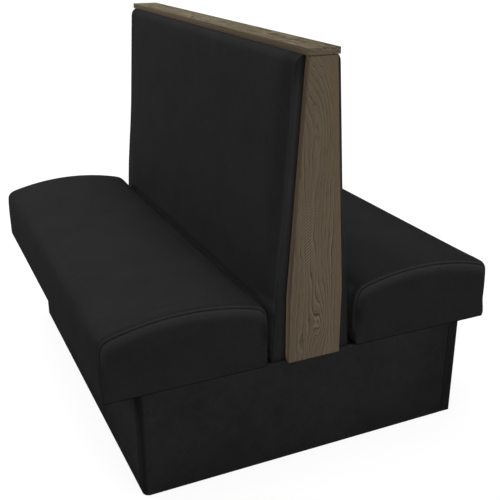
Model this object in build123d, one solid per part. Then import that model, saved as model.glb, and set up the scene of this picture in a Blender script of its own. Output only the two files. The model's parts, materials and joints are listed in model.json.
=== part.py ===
from build123d import *
import math
import os

# A double restaurant booth: two upholstered seats back to back on one covered base,
# with a tapered padded back between them, an oak cap and an oak board at each end.
# Millimetres. X runs across the booth, Y along it towards the far end, Z up.
# The origin is on the floor, under the middle of the oak cap.

# Whole booth
overall_height = 1067.0
back_length = 1278.0

# Oak cap and end boards
cap_thickness = 16.0
cap_width = 84.0
board_thickness = 22.0
board_top_width = 72.0
board_shoulder_width = 146.0
board_shoulder_rise = 177.0

# Base
base_height = 291.0
base_width = 930.0
base_near_setback = 9.0
glide_height = 4.0
glide_radius = 12.0
glide_nail_radius = 1.6
glide_nail_length = 14.0
panel_thickness = 18.0
deck_thickness = 18.0
block_side = 45.0
block_height = 120.0
rounded_corner_radius = 17.0
plain_corner_radius = 3.0
rounded_lap = 17.0
plain_lap = 32.0
base_rib_count = 3

# Upholstery
vinyl_thickness = 1.2
soft_clearance = 0.3
flange_width = 22.0

# Seats
seat_near_setback = 11.0
seat_far_setback = 48.0
seat_end_overhang = 86.0
seat_overhang = 88.0
seat_to_pad_gap = 21.0
seat_front_height = 162.0
seat_rear_height = 166.0
seat_crown_height = 195.0
seat_crown_share = 0.57
seat_front_radius = 26.0
seat_rear_radius = 40.0
seat_side_bulge = 4.0
seat_end_radius = 11.0
edge_padding = 13.0
seam_setback = 12.0

# Seat frame and springs
rail_height = 70.0
rail_thickness = 22.0
cross_rail_count = 4
spring_count = 6
spring_wire_radius = 1.8
spring_width = 52.0
spring_turn_pitch = 30.0
spring_end_margin = 60.0
clip_thickness = 1.2
clip_width = 20.0
clip_length = 14.0
clip_clearance = 0.2
felt_thickness = 6.0
dust_cover_thickness = 0.8

# Back
pad_proud = 27.0
pad_thickness = 40.0
pad_crown = 9.0
pad_end_radius = 26.0
pad_top_radius = 24.0
pad_bottom_radius = 14.0
facing_thickness = 9.0
bottom_rail_thickness = 30.0
top_rail_thickness = 20.0
back_rib_count = 4
back_rib_thickness = 18.0
blocking_height = 70.0
blocking_thickness = 18.0
blocking_row_shares = (0.19, 0.77)

# Fasteners
screw_radius = 2.5
screw_head_radius = 4.6
screw_head_height = 2.8
screw_fit = 0.1
deck_screw_length = 50.0
seat_screw_length = 55.0
board_screw_length = 34.0
cap_screw_length = 30.0
pad_screw_length = 24.0
bolt_radius = 4.0
bolt_head_radius = 9.0
bolt_head_height = 4.5
bolt_nut_radius = 7.5
bolt_nut_height = 6.5
bolt_tail = 4.0
bolt_fit = 0.3
deck_screw_inset = 90.0
deck_screw_count = 4
seat_screw_inset = 70.0
board_screw_rise = 60.0
board_screw_count = 4
bolt_end_inset = 210.0
bolt_row_count = 3
pad_screw_shares = (0.25, 0.75)
cut_overrun = 5.0

# Places worked out from the sizes above
near_end = -back_length / 2
far_end = back_length / 2
base_side = base_width / 2
seat_near = near_end + seat_near_setback
seat_far = far_end - seat_far_setback
base_near = near_end + base_near_setback
base_far = seat_far - seat_end_overhang
panel_side = base_side - vinyl_thickness
panel_near = base_near + vinyl_thickness
panel_far = base_far - vinyl_thickness
panel_inside = panel_side - panel_thickness
panel_top = base_height - deck_thickness
back_top = overall_height - cap_thickness
lean = (board_shoulder_width - board_top_width) / 2 / (back_top - base_height - board_shoulder_rise)
pad_front_top = board_top_width / 2 + pad_proud
pad_end = back_length / 2 - board_thickness
seat_front = base_side + seat_overhang
frame_inset = seat_side_bulge + vinyl_thickness + soft_clearance + edge_padding
frame_end_inset = vinyl_thickness + soft_clearance + edge_padding
frame_low = base_height + vinyl_thickness
frame_top = frame_low + rail_height
clip_height = 2 * clip_thickness + 2 * (spring_wire_radius + clip_clearance)
felt_low = frame_top + clip_height + soft_clearance
foam_low = felt_low + felt_thickness + soft_clearance


def pad_front_at(height):
    """How far the pad's front edges stand from the middle of the booth at a height."""
    return pad_front_top + lean * (back_top - height)


def pad_back_at(height):
    """The plane of the back frame, which carries the pads."""
    return pad_front_at(height) - pad_thickness


seat_rear = pad_front_at(base_height) + seat_to_pad_gap
frame_front = seat_front - frame_inset
frame_rear = seat_rear + frame_inset
frame_near = seat_near + frame_end_inset
frame_far = seat_far - frame_end_inset


def block(x0, x1, y0, y1, z0, z1):
    """A plain block between two corners."""
    return Pos((x0 + x1) / 2, (y0 + y1) / 2, (z0 + z1) / 2) * Box(x1 - x0, y1 - y0, z1 - z0)


def spread(low, high, count):
    """Places at an even spacing, from low to high."""
    return [low + (high - low) * i / (count - 1) for i in range(count)]


def gather(solids):
    """Several separate solids as one sub-part."""
    return Compound(children=[s for group in solids for s in group.solids()])


def across(side, shape):
    """The right-hand shape, or its mirror image for the left."""
    if side == "right":
        return shape
    mirrored = [s.mirror(Plane.YZ) for s in shape.solids()]
    return gather(mirrored) if len(mirrored) > 1 else mirrored[0]


def keep(name, shape):
    """Writes one sub-part."""
    shape.label = name
    export_step(shape, f"parts/{name}.step")
    print(f"{name}: {len(shape.solids())} solids")


def section_at(y, outline):
    """A closed outline drawn with X across and Y up, stood upright at a place along the booth."""
    return Plane.XZ.offset(-y) * outline


def corner_of(shape, point):
    """The outline's vertex nearest to a point."""
    return shape.vertices().sort_by_distance(point)[0]


# Fasteners

def screw(length, fit=0.0):
    """A countersunk screw that points down, with the top of its head at the origin."""
    radius = screw_radius + fit
    head = screw_head_radius + fit
    shank = Pos(0, 0, -length / 2) * Cylinder(radius, length)
    cone = Pos(0, 0, -screw_head_height / 2) * Cone(radius, head, screw_head_height)
    return shank + cone


def screw_hole(length):
    """What a screw takes out of the pieces that it passes through."""
    mouth = Pos(0, 0, cut_overrun / 2) * Cylinder(screw_head_radius + screw_fit, cut_overrun)
    return screw(length, screw_fit) + mouth


def drill(shape, places, length):
    """Cuts the hole of each screw out of a shape."""
    for place in places:
        shape -= place * screw_hole(length)
    return shape


def bolt(grip, fit=0.0):
    """A domed bolt that points down, its head on the surface at the origin."""
    length = grip + bolt_nut_height + bolt_tail
    shank = Pos(0, 0, -length / 2) * Cylinder(bolt_radius + fit, length)
    if fit:
        return shank
    dome = Pos(0, 0, bolt_head_height / 2) * Cone(bolt_head_radius, bolt_radius, bolt_head_height)
    nut_outline = RegularPolygon(bolt_nut_radius, 6, major_radius=True)
    nut = Pos(0, 0, -grip - bolt_nut_height) * extrude(nut_outline, bolt_nut_height)
    return shank + dome + nut


def deck_screw_places():
    """Screws down through the deck into the kick panels and the ribs."""
    top = base_height
    reach = panel_inside + panel_thickness / 2
    along = spread(panel_near + deck_screw_inset, panel_far - deck_screw_inset, deck_screw_count)
    kick = [Pos(x, y, top) for x in (-reach, reach) for y in along]
    rib = [Pos(x, y, top) for y in base_rib_places() for x in (-reach / 2, reach / 2)]
    return kick + rib


def seat_cross_places():
    """Where the cross rails of a seat frame lie along the booth."""
    half = rail_thickness / 2
    return spread(frame_near + half, frame_far - half, cross_rail_count)


def seat_screw_places():
    """Screws up through the deck into the two middle cross rails of the right seat."""
    low = base_height - deck_thickness
    inner = frame_rear + seat_screw_inset
    outer = base_side - seat_screw_inset
    return [Pos(x, y, low) * Rot(180, 0, 0) for y in seat_cross_places()[1:-1] for x in (inner, outer)]


def board_screw_places():
    """Screws through the first and last rib of the back into the end boards."""
    inner = back_length / 2 - board_thickness - back_rib_thickness
    heights = spread(base_height + bottom_rail_thickness + board_screw_rise,
                     back_top - top_rail_thickness - board_screw_rise, board_screw_count)
    near = [Pos(0, -inner, z) * Rot(-90, 0, 0) for z in heights]
    far = [Pos(0, inner, z) * Rot(90, 0, 0) for z in heights]
    return near + far


def cap_screw_places():
    """Screws up through the top rail into the cap."""
    bays = spread(-pad_end, pad_end, 2 * back_rib_count + 1)
    low = back_top - top_rail_thickness
    return [Pos(0, y, low) * Rot(180, 0, 0) for y in bays[1:-1:2]]


def bolt_places():
    """Bolts that hold the back's bottom rail down on the deck."""
    top = base_height + bottom_rail_thickness
    along = spread(near_end + bolt_end_inset, base_far - bolt_end_inset / 2, bolt_row_count)
    reach = pad_back_at(base_height) / 2
    return [Pos(x, y, top) for y in along for x in (-reach, reach)]


# Base

def base_rib_places():
    """Where the base's inner ribs lie along the booth."""
    inner_near = panel_near + panel_thickness
    inner_far = panel_far - panel_thickness
    return spread(inner_near, inner_far, base_rib_count + 2)[1:-1]


def round_upright(shape, x, y, radius):
    """Rounds the one upright edge of a panel nearest to a place."""
    uprights = shape.edges().filter_by(Axis.Z)
    return fillet(uprights.sort_by_distance((x, y, base_height / 2))[0], radius)


def kick_panel(side):
    """A plywood panel along one side of the base."""
    sign = 1 if side == "right" else -1
    radius = plain_corner_radius if side == "right" else rounded_corner_radius
    x0, x1 = sorted((sign * panel_inside, sign * panel_side))
    panel = block(x0, x1, panel_near, panel_far, glide_height, panel_top)
    panel = round_upright(panel, sign * panel_side, panel_near, radius - vinyl_thickness)
    return drill(panel, deck_screw_places(), deck_screw_length)


def end_panel(y0):
    """A plywood panel across one end of the base."""
    return block(-panel_inside, panel_inside, y0, y0 + panel_thickness, glide_height, panel_top)


def base_rib(y):
    """An upright plywood rib inside the base."""
    half = panel_thickness / 2
    rib = block(-panel_inside, panel_inside, y - half, y + half, glide_height, panel_top)
    return drill(rib, deck_screw_places(), deck_screw_length)


def base_deck():
    """The plywood deck that carries the seats and the back."""
    deck = block(-panel_side, panel_side, panel_near, panel_far, panel_top, base_height)
    deck = round_upright(deck, panel_side, panel_near, plain_corner_radius - vinyl_thickness)
    deck = round_upright(deck, -panel_side, panel_near, rounded_corner_radius - vinyl_thickness)
    deck = drill(deck, deck_screw_places(), deck_screw_length)
    for side in ("right", "left"):
        deck = deck - across(side, gather([p * screw_hole(seat_screw_length) for p in seat_screw_places()]))
    for place in bolt_places():
        deck -= place * bolt(bottom_rail_thickness + deck_thickness, bolt_fit)
    return deck


def block_places():
    """Corners where a kick panel meets an end panel or a rib: x, y and the way inwards."""
    ribs = base_rib_places()
    half = panel_thickness / 2
    rows = [(panel_near + panel_thickness, 1), (panel_far - panel_thickness, -1)]
    rows += [(ribs[0] + half, 1), (ribs[-1] - half, -1)]
    return [(x, y, -1 if x > 0 else 1, way) for x in (-panel_inside, panel_inside) for y, way in rows]


def base_blocks():
    """Glued corner blocks that stiffen the base and take the glides."""
    made = []
    for x, y, inwards, way in block_places():
        x0, x1 = sorted((x, x + inwards * block_side))
        y0, y1 = sorted((y, y + way * block_side))
        made.append(block(x0, x1, y0, y1, glide_height, glide_height + block_height))
    blocks = gather(made)
    for place in glide_places():
        blocks -= place * glide_nail(screw_fit)
    return blocks


def glide_places():
    """The glides lie under the middle of each corner block."""
    half = block_side / 2
    return [Pos(x + inwards * half, y + way * half, 0) for x, y, inwards, way in block_places()]


def glide_nail(fit=0.0):
    """The nail of a glide, standing up from its disc."""
    middle = glide_height + glide_nail_length / 2
    return Pos(0, 0, middle) * Cylinder(glide_nail_radius + fit, glide_nail_length)


def glide():
    """A nail-on nylon glide."""
    disc = Pos(0, 0, glide_height / 2) * Cylinder(glide_radius, glide_height)
    return disc + glide_nail()


def kick_cover(side):
    """The vinyl along one side of the base. It laps round both ends and folds under the panel."""
    sign = 1 if side == "right" else -1
    radius = plain_corner_radius if side == "right" else rounded_corner_radius
    lap = plain_lap if side == "right" else rounded_lap
    low = glide_height - vinyl_thickness
    x0, x1 = sorted((sign * base_side, 0))
    outer = block(x0, x1, base_near, base_far, low, base_height)
    outer = round_upright(outer, sign * base_side, base_near, radius)
    x0, x1 = sorted((sign * panel_side, -sign * cut_overrun))
    inner = block(x0, x1, panel_near, panel_far, glide_height, base_height + cut_overrun)
    inner = round_upright(inner, sign * panel_side, panel_near, radius - vinyl_thickness)
    x0, x1 = sorted((sign * panel_inside, -sign * cut_overrun))
    under = block(x0, x1, panel_near + panel_thickness, panel_far - panel_thickness,
                  low - cut_overrun, base_height + cut_overrun)
    x0, x1 = sorted((sign * base_side, sign * (base_side - lap)))
    return (outer - inner - under) & block(x0, x1, base_near, base_far, low, base_height)


def end_cover(y0, inwards):
    """The vinyl across one end of the base, between the laps, folded under the panel."""
    low = glide_height - vinyl_thickness
    x0, x1 = -base_side + rounded_lap, base_side - plain_lap
    ya, yb = sorted((y0, y0 + inwards * vinyl_thickness))
    sheet = block(x0, x1, ya, yb, low, base_height)
    ya, yb = sorted((y0, y0 + inwards * (vinyl_thickness + panel_thickness)))
    fold = block(max(x0, -panel_inside), min(x1, panel_inside), ya, yb, low, glide_height)
    return sheet + fold


# Seats, built on the right and mirrored for the left

def seat_outline(inset):
    """The cushion's outline across the seat, some way inside the face of the vinyl."""
    low = base_height + inset
    front = seat_front - seat_side_bulge - inset
    rear = seat_rear + seat_side_bulge + inset
    front_top = (front, base_height + seat_front_height - inset)
    rear_top = (rear, base_height + seat_rear_height - inset)
    crown = (front - seat_crown_share * (front - rear), base_height + seat_crown_height - inset)
    front_middle = (front + seat_side_bulge, (low + front_top[1]) / 2)
    rear_middle = (rear - seat_side_bulge, (low + rear_top[1]) / 2)
    line = ThreePointArc((front, low), front_middle, front_top)
    line += ThreePointArc(front_top, crown, rear_top)
    line += ThreePointArc(rear_top, rear_middle, (rear, low))
    line += Line((rear, low), (front, low))
    outline = make_face(line)
    outline = fillet(corner_of(outline, front_top), seat_front_radius - inset)
    return fillet(corner_of(outline, rear_top), seat_rear_radius - inset)


def seat_body(inset):
    """The whole cushion as one crowned form, some way inside the face of the vinyl."""
    far = seat_far - inset
    body = extrude(section_at(far, seat_outline(inset)), far - seat_near - inset, dir=(0, -1, 0))
    low = base_height + inset
    rims = [e for f in body.faces().filter_by(Axis.Y) for e in f.edges()]
    above = [e for e in rims if e.center().Z > low + soft_clearance]
    return fillet(above, seat_end_radius - inset)


def seat_rails():
    """The front and rear rails of the right seat frame."""
    front = block(frame_front - rail_thickness, frame_front, frame_near, frame_far, frame_low, frame_top)
    rear = block(frame_rear, frame_rear + rail_thickness, frame_near, frame_far, frame_low, frame_top)
    return front, rear


def seat_cross_rails():
    """The rails across the right seat frame, between the front and rear rails."""
    half = rail_thickness / 2
    x0, x1 = frame_rear + rail_thickness, frame_front - rail_thickness
    rails = gather([block(x0, x1, y - half, y + half, frame_low, frame_top) for y in seat_cross_places()])
    return drill(rails, seat_screw_places(), seat_screw_length)


def spring_places():
    """Where the springs lie along the seat."""
    return spread(frame_near + spring_end_margin, frame_far - spring_end_margin, spring_count)


def spring_level():
    """The height of the middle of the spring wire."""
    return frame_top + clip_thickness + clip_clearance + spring_wire_radius


def spring_ends():
    """The places of the first and last run of a spring, over the middle of each rail."""
    return frame_rear + rail_thickness / 2, frame_front - rail_thickness / 2


def seat_spring(y):
    """One zigzag spring: straight runs along the booth, joined by half turns."""
    start, stop = spring_ends()
    turns = 2 * round((stop - start) / spring_turn_pitch / 2)
    radius = (stop - start) / turns / 2
    reach = spring_width / 2 - radius
    path = Line((start, y - reach), (start, y + reach))
    for i in range(turns):
        x0, x1 = start + 2 * radius * i, start + 2 * radius * (i + 1)
        way = 1 if i % 2 == 0 else -1
        edge = y + way * reach
        tip = ((x0 + x1) / 2, edge + way * radius)
        path += ThreePointArc((x0, edge), tip, (x1, edge))
        path += Line((x1, edge), (x1, y - way * reach))
    path = Pos(0, 0, spring_level()) * path
    profile = Plane(origin=(start, y - reach, spring_level()), z_dir=(0, 1, 0)) * Circle(spring_wire_radius)
    return sweep(profile, path=path)


def spring_clip(x, y, outwards):
    """A folded clip on top of a rail, open towards the middle of the seat, round the spring's end."""
    half = clip_width / 2
    slot_half = spring_wire_radius + clip_clearance
    x0, x1 = sorted((x + outwards * clip_length / 2, x - outwards * slot_half))
    plate = block(x0, x1, y - half, y + half, frame_top, frame_top + clip_height)
    x0, x1 = sorted((x + outwards * slot_half, x - outwards * (slot_half + cut_overrun)))
    slot = block(x0, x1, y - half - cut_overrun, y + half + cut_overrun,
                 spring_level() - slot_half, spring_level() + slot_half)
    return plate - slot


def seat_clips():
    """Every spring clip of the right seat."""
    rear, front = spring_ends()
    return gather([spring_clip(x, y, way) for x, way in ((rear, -1), (front, 1)) for y in spring_places()])


def seat_foam(body):
    """The foam slab on top of the springs."""
    room = block(seat_rear, seat_front, seat_near, seat_far, foam_low, base_height + 2 * seat_crown_height)
    return body & room


def seat_edge_padding(body):
    """Thin foam strips between the seat frame and the vinyl: front, rear and both ends."""
    top = foam_low - soft_clearance
    front, rear = frame_front + soft_clearance, frame_rear - soft_clearance
    near, far = frame_near - soft_clearance, frame_far + soft_clearance
    strips = [
        block(front, seat_front, seat_near, seat_far, frame_low, top),
        block(seat_rear, rear, seat_near, seat_far, frame_low, top),
        block(rear + soft_clearance, front - soft_clearance, seat_near, near, frame_low, top),
        block(rear + soft_clearance, front - soft_clearance, far, seat_far, frame_low, top),
    ]
    return gather([body & strip for strip in strips])


def seat_cover(outer, inner):
    """The vinyl shell of the cushion, turned under the frame as a flange."""
    low = base_height
    hole = block(seat_rear + frame_inset + flange_width, seat_front - frame_inset - flange_width,
                 seat_near + frame_end_inset + flange_width, seat_far - frame_end_inset - flange_width,
                 low - cut_overrun, low + cut_overrun)
    shell = outer - inner - hole
    holes = gather([p * screw_hole(seat_screw_length) for p in seat_screw_places()])
    return shell - holes


def between_seams(shell):
    """The wrapped middle of a cover, between the two end seams."""
    top = base_height + 2 * seat_crown_height
    return shell & block(0, 2 * seat_front, seat_near + seam_setback, seat_far - seam_setback, 0, top)


def beyond_seams(shell):
    """The end caps of a cover, outside the two end seams."""
    top = base_height + 2 * seat_crown_height
    near = shell & block(0, 2 * seat_front, seat_near - cut_overrun, seat_near + seam_setback, 0, top)
    far = shell & block(0, 2 * seat_front, seat_far - seam_setback, seat_far + cut_overrun, 0, top)
    return gather([near, far])


def seat_dust_cover():
    """The thin sheet stapled under the seat frame, inside the flange."""
    margin = flange_width + soft_clearance
    sheet = block(frame_rear + margin, frame_front - margin, frame_near + margin, frame_far - margin,
                  frame_low - dust_cover_thickness, frame_low)
    return drill(sheet, seat_screw_places(), seat_screw_length)


# Back

def pad_outline(inset):
    """The right pad's outline across the booth, some way inside the face of the vinyl."""
    low, high = base_height + inset, back_top - inset
    middle = (low + high) / 2
    line = Line((pad_back_at(low) + inset, low), (pad_front_at(low) - inset, low))
    line += ThreePointArc((pad_front_at(low) - inset, low),
                          (pad_front_at(middle) + pad_crown - inset, middle),
                          (pad_front_at(high) - inset, high))
    line += Line((pad_front_at(high) - inset, high), (pad_back_at(high) + inset, high))
    line += Line((pad_back_at(high) + inset, high), (pad_back_at(low) + inset, low))
    return make_face(line)


def pad_body(inset):
    """The whole right pad as one crowned form. Its rolled edges meet in mitres at the corners."""
    end = pad_end - inset
    low, high = base_height + inset, back_top - inset
    middle = (low + high) / 2
    bulge = pad_front_at(middle) + pad_crown - inset
    outline = pad_outline(inset)
    rolled_ends = extrude(section_at(end, outline), 2 * end, dir=(0, -1, 0))
    uprights = [rolled_ends.edges().sort_by_distance((bulge, y, middle))[0] for y in (-end, end)]
    rolled_ends = fillet(uprights, pad_end_radius - inset)
    outline = fillet(corner_of(outline, (pad_front_at(high) - inset, high)), pad_top_radius - inset)
    outline = fillet(corner_of(outline, (pad_front_at(low) - inset, low)), pad_bottom_radius - inset)
    rolled_rims = extrude(section_at(end, outline), 2 * end, dir=(0, -1, 0))
    return rolled_ends & rolled_rims


def leaning_slab(depth_in, depth_out, end, low, high):
    """A flat slab parallel to the right face of the back frame, between two depths from that face."""
    line = Polyline((pad_back_at(low) + depth_in, low), (pad_back_at(low) + depth_out, low),
                    (pad_back_at(high) + depth_out, high), (pad_back_at(high) + depth_in, high),
                    (pad_back_at(low) + depth_in, low))
    return extrude(section_at(end, make_face(line)), 2 * end, dir=(0, -1, 0))


def back_facing():
    """The plywood behind the right pad's foam."""
    inset = vinyl_thickness + soft_clearance
    low, high = base_height + inset, back_top - inset
    slab = leaning_slab(inset, inset + facing_thickness, pad_end - inset, low, high)
    for cutter in pad_screw_cutters():
        slab -= cutter
    return slab


def pad_foam(body):
    """The foam slab of the right pad, in front of its facing."""
    depth = vinyl_thickness + facing_thickness + 2 * soft_clearance
    room = leaning_slab(depth, depth + 2 * pad_thickness, pad_end, base_height, back_top)
    return body & room


def pad_cover(outer, inner):
    """The vinyl shell of the right pad, turned round the back of its facing as a flange."""
    rim = flange_width
    hole = leaning_slab(-cut_overrun, cut_overrun, pad_end - rim, base_height + rim, back_top - rim)
    return outer - inner - hole


def back_rib_places():
    """Where the ribs of the back lie along the booth."""
    half = back_rib_thickness / 2
    return spread(-pad_end + half, pad_end - half, back_rib_count)


def back_rib(y):
    """A tapered plywood rib of the back."""
    low, high = base_height + bottom_rail_thickness, back_top - top_rail_thickness
    wide, narrow = pad_back_at(low), pad_back_at(high)
    line = Polyline((-wide, low), (wide, low), (narrow, high), (-narrow, high), (-wide, low))
    half = back_rib_thickness / 2
    rib = extrude(section_at(y + half, make_face(line)), back_rib_thickness, dir=(0, -1, 0))
    return drill(rib, board_screw_places(), board_screw_length)


def bottom_rail():
    """The thick rail that the back stands on, along the whole of the pads."""
    half = pad_back_at(base_height + bottom_rail_thickness)
    rail = block(-half, half, -pad_end, pad_end, base_height, base_height + bottom_rail_thickness)
    for place in bolt_places():
        rail -= place * bolt(bottom_rail_thickness + deck_thickness, bolt_fit)
    return rail


def top_rail():
    """The rail under the cap."""
    half = pad_back_at(back_top)
    rail = block(-half, half, -pad_end, pad_end, back_top - top_rail_thickness, back_top)
    return drill(rail, cap_screw_places(), cap_screw_length)


def blocking_rows():
    """The heights at which the rows of blocking start."""
    low = base_height + bottom_rail_thickness
    high = back_top - top_rail_thickness - blocking_height
    return [low + (high - low) * share for share in blocking_row_shares]


def back_blocking():
    """Short rails between the ribs, against the plane of each pad, which take the pad screws."""
    ribs = back_rib_places()
    half = back_rib_thickness / 2
    made = []
    for low in blocking_rows():
        for y0, y1 in zip(ribs, ribs[1:]):
            whole = leaning_slab(-blocking_thickness, 0, pad_end, low, low + blocking_height)
            piece = whole & block(0, base_side, y0 + half, y1 - half, low, low + blocking_height)
            made += [piece, across("left", piece)]
    made = gather(made)
    for side in ("right", "left"):
        for cutter in pad_screw_cutters():
            made -= across(side, cutter)
    return made


def pad_screw_places():
    """Screws outwards through the blocking into the right facing, two in each bay and row."""
    ribs = back_rib_places()
    tilt = math.degrees(math.atan(lean))
    places = []
    for low in blocking_rows():
        height = low + blocking_height / 2
        x = pad_back_at(height) - blocking_thickness
        for y0, y1 in zip(ribs, ribs[1:]):
            along = [y0 + (y1 - y0) * share for share in pad_screw_shares]
            places += [Pos(x, y, height) * Rot(0, -90 - tilt, 0) for y in along]
    return places


def pad_screw_cutters():
    """What the right pad's screws take out of the blocking and the facing."""
    return [place * screw_hole(pad_screw_length) for place in pad_screw_places()]


def end_board(sign):
    """An oak board over one end of the back: tapered above its shoulder and straight below."""
    low, shoulder, high = base_height, base_height + board_shoulder_rise, back_top
    wide, narrow = board_shoulder_width / 2, board_top_width / 2
    line = Polyline((-wide, low), (wide, low), (wide, shoulder), (narrow, high), (-narrow, high),
                    (-wide, shoulder), (-wide, low))
    start = sign * pad_end
    board = extrude(section_at(start, make_face(line)), board_thickness, dir=(0, sign, 0))
    return drill(board, board_screw_places(), board_screw_length)


def top_cap():
    """The oak cap along the top of the back."""
    half = cap_width / 2
    cap = block(-half, half, near_end, far_end, back_top, overall_height)
    return drill(cap, cap_screw_places(), cap_screw_length)


def write_base():
    """Every sub-part of the base."""
    for side in ("left", "right"):
        keep(f"kick_panel_{side}", kick_panel(side))
        keep(f"kick_cover_{side}", kick_cover(side))
    keep("end_panel_near", end_panel(panel_near))
    keep("end_panel_far", end_panel(panel_far - panel_thickness))
    keep("end_cover_near", end_cover(base_near, 1))
    keep("end_cover_far", end_cover(base_far, -1))
    for number, y in enumerate(base_rib_places(), 1):
        keep(f"base_rib_{number}", base_rib(y))
    keep("base_deck", base_deck())
    keep("base_blocks", base_blocks())
    keep("floor_glides", gather([place * glide() for place in glide_places()]))
    keep("deck_screws", gather([place * screw(deck_screw_length) for place in deck_screw_places()]))


def write_seats():
    """Every sub-part of the two seats."""
    soft = seat_body(vinyl_thickness + soft_clearance)
    shell = seat_cover(seat_body(0), seat_body(vinyl_thickness))
    front, rear = seat_rails()
    made = {
        "seat_front_rail": front,
        "seat_rear_rail": rear,
        "seat_cross_rails": seat_cross_rails(),
        "seat_springs": gather([seat_spring(y) for y in spring_places()]),
        "spring_clips": seat_clips(),
        "seat_felt": block(frame_rear, frame_front, frame_near, frame_far,
                           felt_low, felt_low + felt_thickness),
        "seat_foam": seat_foam(soft),
        "seat_edge_padding": seat_edge_padding(soft),
        "seat_cover": between_seams(shell),
        "seat_end_caps": beyond_seams(shell),
        "seat_dust_cover": seat_dust_cover(),
        "seat_screws": gather([place * screw(seat_screw_length) for place in seat_screw_places()]),
    }
    for side in ("left", "right"):
        for name, shape in made.items():
            keep(f"{name}_{side}", across(side, shape))


def write_back():
    """Every sub-part of the back."""
    soft = pad_body(vinyl_thickness + soft_clearance)
    screws = gather([place * screw(pad_screw_length) for place in pad_screw_places()])
    made = {
        "back_facing": back_facing(),
        "back_foam": pad_foam(soft),
        "back_cover": pad_cover(pad_body(0), pad_body(vinyl_thickness)),
    }
    for side in ("left", "right"):
        for name, shape in made.items():
            keep(f"{name}_{side}", across(side, shape))
    keep("pad_screws", gather([screws, across("left", screws)]))
    keep("back_bottom_rail", bottom_rail())
    keep("back_top_rail", top_rail())
    for number, y in enumerate(back_rib_places(), 1):
        keep(f"back_rib_{number}", back_rib(y))
    keep("back_blocking", back_blocking())
    keep("end_board_near", end_board(-1))
    keep("end_board_far", end_board(1))
    keep("top_cap", top_cap())
    keep("end_board_screws", gather([p * screw(board_screw_length) for p in board_screw_places()]))
    keep("cap_screws", gather([p * screw(cap_screw_length) for p in cap_screw_places()]))
    grip = bottom_rail_thickness + deck_thickness
    keep("back_bolts", gather([p * bolt(grip) for p in bolt_places()]))


os.makedirs("parts", exist_ok=True)
write_base()
write_seats()
write_back()
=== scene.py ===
"""Dresses the CAD frame of a double booth in upholstery, covering and oak."""

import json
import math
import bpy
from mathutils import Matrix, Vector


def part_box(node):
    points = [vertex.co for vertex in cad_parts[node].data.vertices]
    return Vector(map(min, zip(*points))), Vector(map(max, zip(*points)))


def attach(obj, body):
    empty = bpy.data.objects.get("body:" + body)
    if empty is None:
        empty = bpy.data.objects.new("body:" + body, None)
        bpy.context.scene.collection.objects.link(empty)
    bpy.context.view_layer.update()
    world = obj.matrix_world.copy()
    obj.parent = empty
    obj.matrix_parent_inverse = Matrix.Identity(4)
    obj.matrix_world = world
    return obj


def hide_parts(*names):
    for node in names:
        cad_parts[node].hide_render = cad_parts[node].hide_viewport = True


bl_info = {
    "name": "Double Booth",
    "version": (1, 0, 0),
    "blender": (4, 5, 0),
    "location": "3D View > Sidebar > Booth",
    "description": "Upholstery, base covering, oak and studio for a double restaurant booth",
    "category": "Object",
}

import bmesh
import bpy
import numpy as np
from bpy.props import FloatProperty, FloatVectorProperty, PointerProperty
from mathutils import Vector
from mathutils.geometry import intersect_sphere_sphere_2d

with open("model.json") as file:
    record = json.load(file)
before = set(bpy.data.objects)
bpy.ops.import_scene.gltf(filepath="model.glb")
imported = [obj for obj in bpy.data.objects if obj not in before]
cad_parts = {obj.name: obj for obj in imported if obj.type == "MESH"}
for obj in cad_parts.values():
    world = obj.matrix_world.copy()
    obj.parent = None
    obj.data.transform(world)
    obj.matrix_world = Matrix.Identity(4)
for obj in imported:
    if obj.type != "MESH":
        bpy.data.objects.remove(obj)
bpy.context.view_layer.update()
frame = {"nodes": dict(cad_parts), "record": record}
SIDES = ("left", "right")

# Lengths that several functions need, in metres
SHOULDER_RISE = 0.177
TOP_WIDTH = 0.072
PAD_THICKNESS = 0.040
SAME_PLACE = 1e-5
ON_FACE = 1e-4


def span_of(*nodes):
    """Lowest and highest corner of several CAD nodes together."""
    boxes = [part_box(node) for node in nodes]
    low = Vector([min(box[0][axis] for box in boxes) for axis in range(3)])
    high = Vector([max(box[1][axis] for box in boxes) for axis in range(3)])
    return low, high


SEAT_LOW, SEAT_HIGH = span_of("seat_cover_right", "seat_end_caps_right")
PAD_LOW, PAD_HIGH = span_of("back_cover_right")
BASE_LOW, BASE_HIGH = span_of("kick_cover_left", "kick_cover_right")
BOARD_LOW, BOARD_HIGH = span_of("end_board_near")
CAP_LOW, CAP_HIGH = span_of("top_cap")


def board_lean(shoulder_rise=SHOULDER_RISE, top_width=TOP_WIDTH):
    """How far the side of an end board leans in for each metre up, above its shoulder."""
    return (BOARD_HIGH[0] - top_width / 2) / (BOARD_HIGH[2] - BOARD_LOW[2] - shoulder_rise)


# Settings

def length(name, description, default, most=0.2):
    """A length that the user may change."""
    return FloatProperty(name=name, description=description, default=default, min=0.0, max=most,
                         unit="LENGTH", precision=4)


def share(name, description, default):
    """A share between nothing and all."""
    return FloatProperty(name=name, description=description, default=default, min=0.0, max=1.0,
                         subtype="FACTOR")


def colour(name, description, default):
    """A colour in linear light."""
    return FloatVectorProperty(name=name, description=description, default=default, min=0.0, max=1.0,
                               size=3, subtype="COLOR")


def angle(name, description, degrees):
    """An angle, given in degrees and kept in radians."""
    return FloatProperty(name=name, description=description, default=math.radians(degrees), subtype="ANGLE")


def power(name, description, default):
    """The power of a lamp, in watts."""
    return FloatProperty(name=name, description=description, default=default, min=0.0, unit="POWER")


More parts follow.
